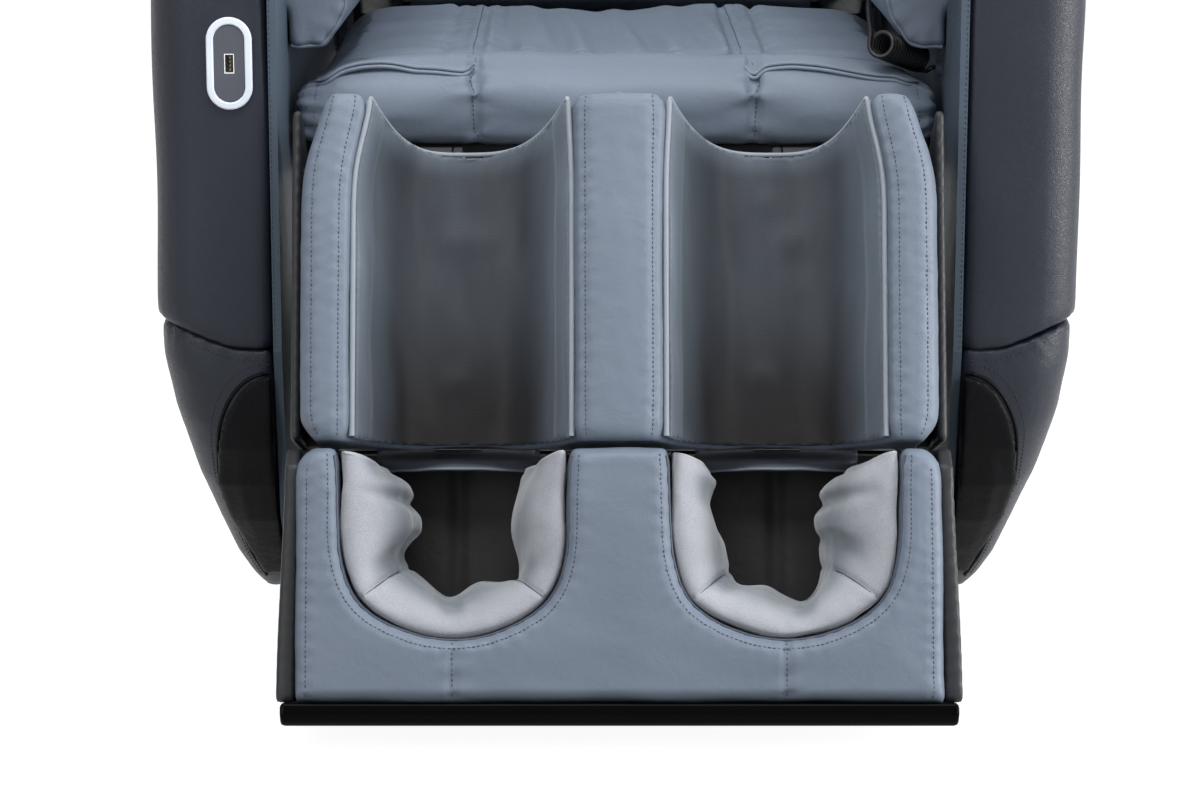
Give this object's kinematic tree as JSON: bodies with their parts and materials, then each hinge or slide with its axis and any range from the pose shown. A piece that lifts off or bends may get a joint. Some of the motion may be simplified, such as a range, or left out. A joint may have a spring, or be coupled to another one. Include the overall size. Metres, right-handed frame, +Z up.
{
  "type": "massage recliner",
  "caption": "Powered massage recliner: padded side pods, seat with front roll, reclining back with roller mechanism, lifting calf unit with channels and a sprung foot unit with wells.",
  "frame": {"origin": "on the floor under the middle of the whole chair's bounding box at rest", "axes": "+X to the right of someone who faces the chair, +Y towards its back, +Z up; the front is -Y"},
  "size_m": [0.764, 1.2676, 1.1927],
  "materials": {
    "bezel_silver": "satin silver",
    "button_light": "satin",
    "cord_black": "satin black",
    "fabric_pale": "light grey fabric",
    "fabric_smoke": "smoky grey fabric",
    "faceplate": "satin dark grey",
    "frame_black": "semi-matt black powder coat",
    "glide_rubber": "matt",
    "leather_black": "black leather",
    "leather_charcoal": "charcoal leather",
    "leather_grey": "soft grey-blue leather",
    "panel_light": "light blue-grey satin",
    "plastic_black": "matt black",
    "plastic_dark": "satin dark grey",
    "roller_brown": "satin",
    "roller_tan": "satin",
    "screen": "gloss",
    "steel": "brushed",
    "tyre_grey": "matt"
  },
  "bodies": {
    "base": {"base_frame": "frame_black", "floor_glides": "glide_rubber", "seat_frame": "frame_black", "seat_cushion": "leather_grey", "seat_front_roll": "leather_grey", "hinge_pins": "steel", "pod_inner_panels": "panel_light", "pod_cover_left": "leather_charcoal", "pod_cover_right": "leather_charcoal", "pod_lower_left": "leather_charcoal", "pod_lower_right": "leather_charcoal", "pod_kick_panels": "leather_black", "arm_pad_left": "leather_grey", "arm_pad_right": "leather_grey", "usb_bezel": "bezel_silver", "usb_faceplate": "faceplate", "usb_socket": "steel", "control_box": "plastic_dark", "air_pump": "plastic_dark", "remote_holder": "plastic_black", "remote_case": "plastic_dark", "remote_screen": "screen", "remote_cord": "cord_black", "remote_cord_curls": "cord_black"},
    "backrest": {"back_frame": "frame_black", "back_shell": "leather_charcoal", "back_cushion": "leather_grey", "back_side_bolsters": "leather_charcoal", "shoulder_wings": "leather_charcoal", "head_pillow": "fabric_pale", "track_rails": "steel"},
    "carriage": {"carriage": "plastic_dark"},
    "lead_screw": {"lead_screw": "steel"},
    "knead_shaft": {"knead_shaft": "steel"},
    "knead_arm_left": {"knead_arm_left": "plastic_dark"},
    "knead_arm_right": {"knead_arm_right": "plastic_dark"},
    "roller_left_upper": {"roller_left_upper": "roller_tan"},
    "roller_left_lower": {"roller_left_lower": "roller_tan"},
    "roller_right_upper": {"roller_right_upper": "roller_tan"},
    "roller_right_lower": {"roller_right_lower": "roller_tan"},
    "leg_rest": {"leg_frame": "frame_black", "calf_shell": "plastic_dark", "calf_cushion": "leather_grey", "calf_liners": "fabric_smoke", "foot_gusset": "leather_black"},
    "foot_unit": {"foot_slides": "steel", "foot_shell": "plastic_dark", "foot_cushion": "leather_grey", "foot_liners": "fabric_pale"},
    "sole_rollers": {"sole_rollers": "roller_brown"},
    "leg_motor": {"leg_motor": "plastic_black"},
    "leg_rod": {"leg_rod": "steel"},
    "back_motor": {"back_motor": "plastic_black"},
    "back_rod": {"back_rod": "steel"},
    "transport_wheels": {"transport_wheels": "tyre_grey"},
    "button_power": {"button_power": "button_light"},
    "button_back": {"button_back": "button_light"},
    "button_leg": {"button_leg": "button_light"},
    "mains_switch": {"mains_switch": "plastic_black"}
  },
  "joints": [
    {"name": "leg_lift", "type": "hinge", "parent": "base", "child": "leg_rest", "pos_m": [0, -0.37681, 0.42988], "axis": [-1, 0, 0], "range_deg": [0, 72]},
    {"name": "foot_extend", "type": "slide", "parent": "leg_rest", "child": "foot_unit", "axis": [0, -0.309, -0.9511], "range_m": [0, 0.14], "stiffness_N_per_m": 600, "springref_m": -0.2},
    {"name": "sole_roller_spin", "type": "hinge", "parent": "foot_unit", "child": "sole_rollers", "pos_m": [0, -0.5368, 0.05076], "axis": [1, 0, 0], "continuous": true},
    {"name": "back_recline", "type": "hinge", "parent": "base", "child": "backrest", "pos_m": [0, 0.268, 0.415], "axis": [-1, 0, 0], "range_deg": [0, 42]},
    {"name": "carriage_travel", "type": "slide", "parent": "backrest", "child": "carriage", "axis": [0, 0.4226, 0.9063], "range_m": [-0.21, 0.21]},
    {"name": "lead_screw_spin", "type": "hinge", "parent": "backrest", "child": "lead_screw", "pos_m": [0, 0.28612, 0.43965], "axis": [0, 0.4226, 0.9063], "range_deg": [-7570, 7570]},
    {"name": "knead_shaft_spin", "type": "hinge", "parent": "carriage", "child": "knead_shaft", "pos_m": [0, 0.38753, 0.72338], "axis": [1, 0, 0], "continuous": true},
    {"name": "knead_left", "type": "hinge", "parent": "carriage", "child": "knead_arm_left", "pos_m": [-0.06, 0.38753, 0.72338], "axis": [1, 0, 0], "range_deg": [-6, 6], "stiffness_Nm_per_rad": 12},
    {"name": "knead_right", "type": "hinge", "parent": "carriage", "child": "knead_arm_right", "pos_m": [0.06, 0.38753, 0.72338], "axis": [1, 0, 0], "range_deg": [-6, 6], "stiffness_Nm_per_rad": 12},
    {"name": "roller_left_upper_spin", "type": "hinge", "parent": "knead_arm_left", "child": "roller_left_upper", "pos_m": [-0.081, 0.395, 0.77727], "axis": [1, 0, 0], "continuous": true},
    {"name": "roller_left_lower_spin", "type": "hinge", "parent": "knead_arm_left", "child": "roller_left_lower", "pos_m": [-0.081, 0.35105, 0.68301], "axis": [1, 0, 0], "continuous": true},
    {"name": "roller_right_upper_spin", "type": "hinge", "parent": "knead_arm_right", "child": "roller_right_upper", "pos_m": [0.081, 0.395, 0.77727], "axis": [1, 0, 0], "continuous": true},
    {"name": "roller_right_lower_spin", "type": "hinge", "parent": "knead_arm_right", "child": "roller_right_lower", "pos_m": [0.081, 0.35105, 0.68301], "axis": [1, 0, 0], "continuous": true},
    {"name": "leg_motor_swing", "type": "hinge", "parent": "base", "child": "leg_motor", "pos_m": [-0.055, 0.058, 0.25], "axis": [-1, 0, 0], "range_deg": [-1.4, 0.2]},
    {"name": "leg_rod_slide", "type": "slide", "parent": "leg_motor", "child": "leg_rod", "axis": [0, -0.947, 0.3213], "range_m": [-0.0005, 0.048]},
    {"name": "back_motor_swing", "type": "hinge", "parent": "base", "child": "back_motor", "pos_m": [0.055, -0.112, 0.25], "axis": [-1, 0, 0], "range_deg": [-0.2, 2.6]},
    {"name": "back_rod_slide", "type": "slide", "parent": "back_motor", "child": "back_rod", "axis": [0, 0.9747, 0.2235], "range_m": [-0.063, 0.0005]},
    {"name": "wheel_spin", "type": "hinge", "parent": "base", "child": "transport_wheels", "pos_m": [0, 0.4, 0.038], "axis": [1, 0, 0], "continuous": true},
    {"name": "power_press", "type": "slide", "parent": "base", "child": "button_power", "axis": [1, 0, 0], "range_m": [0, 0.0012], "stiffness_N_per_m": 800, "springref_m": -0.0005},
    {"name": "back_rocker", "type": "hinge", "parent": "base", "child": "button_back", "pos_m": [0.2516, -0.413, 0.672], "axis": [0, 1, 0], "range_deg": [-6, 6], "stiffness_Nm_per_rad": 0.4},
    {"name": "leg_rocker", "type": "hinge", "parent": "base", "child": "button_leg", "pos_m": [0.2516, -0.391, 0.672], "axis": [0, 1, 0], "range_deg": [-6, 6], "stiffness_Nm_per_rad": 0.4},
    {"name": "mains_rocker", "type": "hinge", "parent": "base", "child": "mains_switch", "pos_m": [-0.16, 0.352, 0.1], "axis": [1, 0, 0], "range_deg": [-8, 8]}
  ],
  "couplings": [
    {"joint": "lead_screw_spin", "follows": "carriage_travel", "rad_per_m": 628.32},
    {"joint": "leg_motor_swing", "follows": "leg_lift", "ratio": -0.01687},
    {"joint": "leg_rod_slide", "follows": "leg_lift", "m_per_rad": 0.03769},
    {"joint": "back_motor_swing", "follows": "back_recline", "ratio": 0.05761},
    {"joint": "back_rod_slide", "follows": "back_recline", "m_per_rad": -0.08483}
  ]
}
